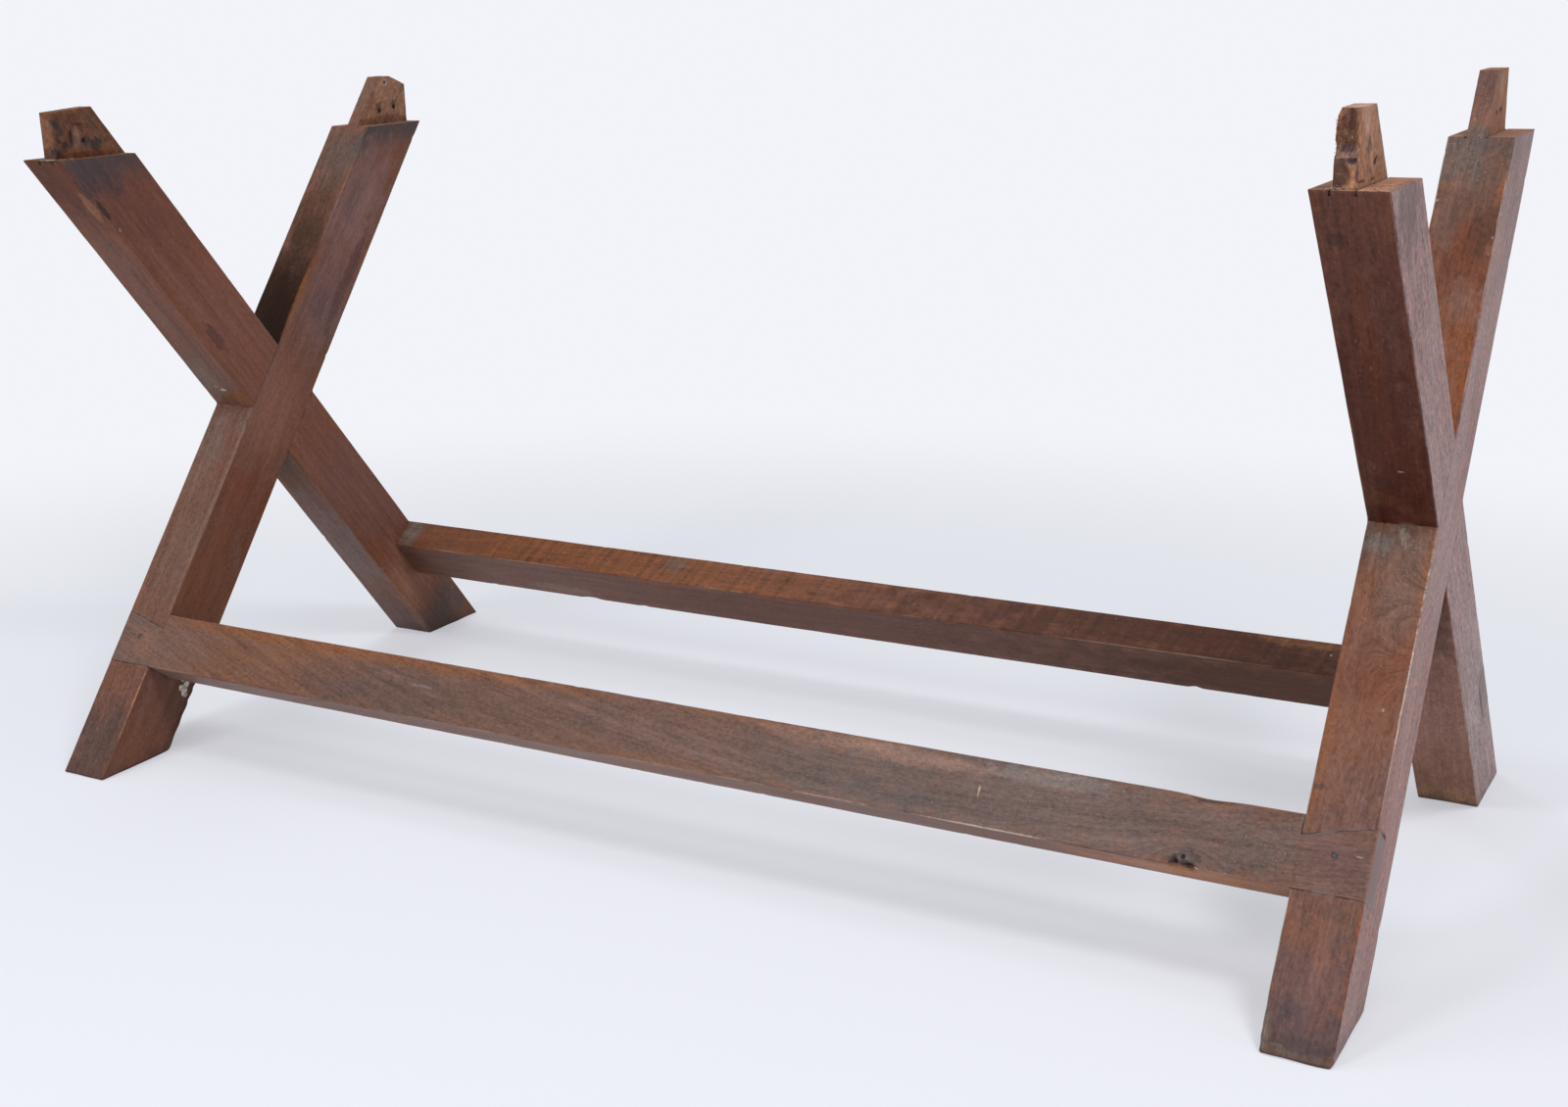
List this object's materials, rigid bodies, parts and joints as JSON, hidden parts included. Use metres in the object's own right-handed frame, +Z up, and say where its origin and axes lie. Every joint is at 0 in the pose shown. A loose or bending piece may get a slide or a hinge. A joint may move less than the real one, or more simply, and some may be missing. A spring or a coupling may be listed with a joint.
{
  "type": "sawbuck table base",
  "caption": "Sawbuck table base: crossed, half-lapped legs with tenons for a top, joined by low rails whose half-dovetail ends are let into the legs.",
  "frame": {"origin": "on the floor, midway between the frames and midway between the front and rear feet", "axes": "+X along the rails to the right-hand frame, -Y towards the front rail, +Z up"},
  "size_m": [1.464, 0.702, 0.76],
  "materials": {
    "leg_wood": "worn",
    "rail_wood": "worn",
    "nail_iron": "dull"
  },
  "bodies": {
    "root": {"left_front_leg": "leg_wood", "left_rear_leg": "leg_wood", "right_front_leg": "leg_wood", "right_rear_leg": "leg_wood", "front_rail": "rail_wood", "rear_rail": "rail_wood", "rail_nails": "nail_iron"}
  },
  "joints": []
}
